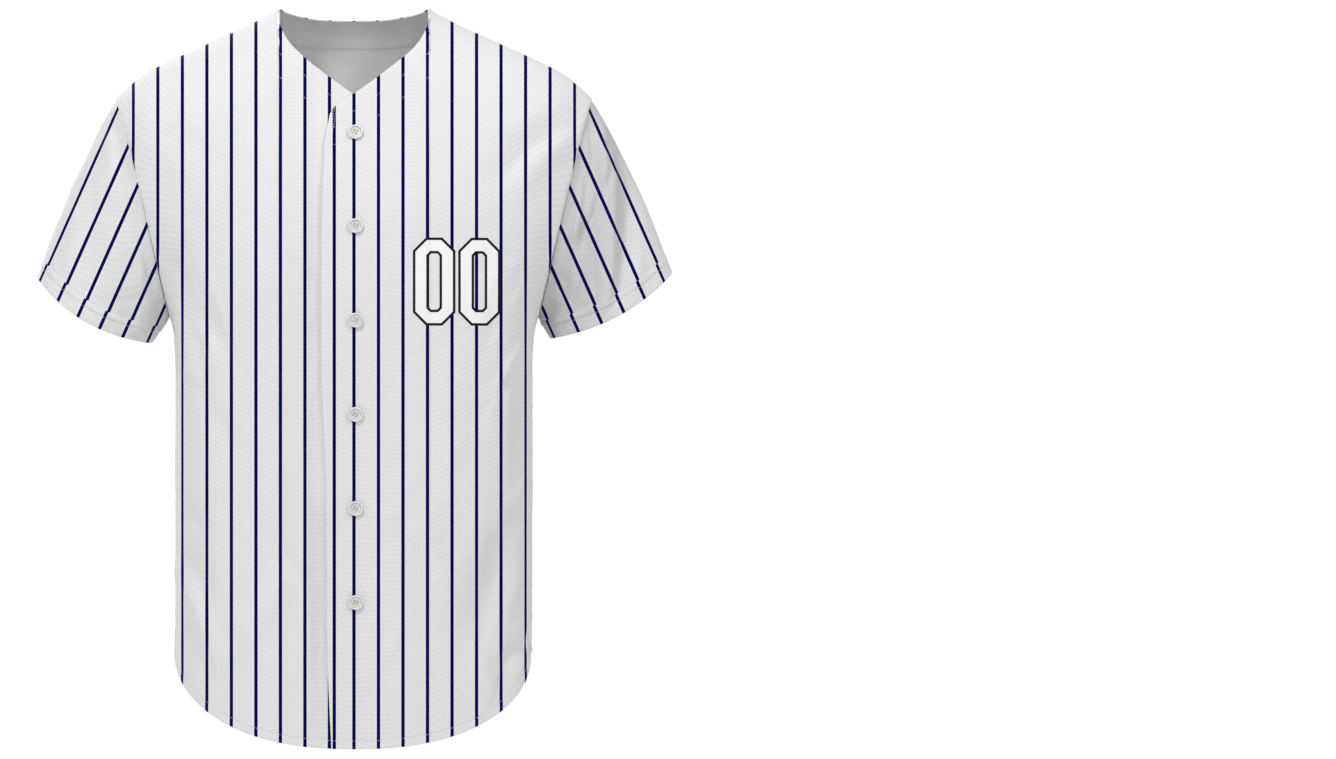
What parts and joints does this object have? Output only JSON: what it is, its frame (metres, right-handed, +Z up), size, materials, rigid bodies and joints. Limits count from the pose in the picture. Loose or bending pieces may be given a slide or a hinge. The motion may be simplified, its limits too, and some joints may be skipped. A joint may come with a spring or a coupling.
{
  "type": "baseball jersey",
  "caption": "Short-sleeved full-button jersey with a V neck, a plain back neck facing and a curved shirt-tail hem, filled out as if worn",
  "frame": {"origin": "middle of the neck opening, level with the inner ends of the two shoulder seams, where the wearer's shoulders carry the garment", "axes": "+Z up, the front faces -Y, +X is the wearer's left"},
  "size_m": [0.656, 0.2312, 0.7585],
  "materials": {
    "striped_cloth": "white polyester mesh with fine navy stripes an inch apart",
    "plain_cloth": "plain inner side of the white polyester cloth",
    "button_plastic": "pale grey-white moulded plastic, softly glossy"
  },
  "bodies": {
    "root": {"front_left": "striped_cloth", "front_right": "striped_cloth", "back": "striped_cloth", "sleeve_left": "striped_cloth", "sleeve_right": "striped_cloth", "neck_facing": "plain_cloth", "button_1": "button_plastic", "button_2": "button_plastic", "button_3": "button_plastic", "button_4": "button_plastic", "button_5": "button_plastic", "button_6": "button_plastic"}
  },
  "joints": []
}
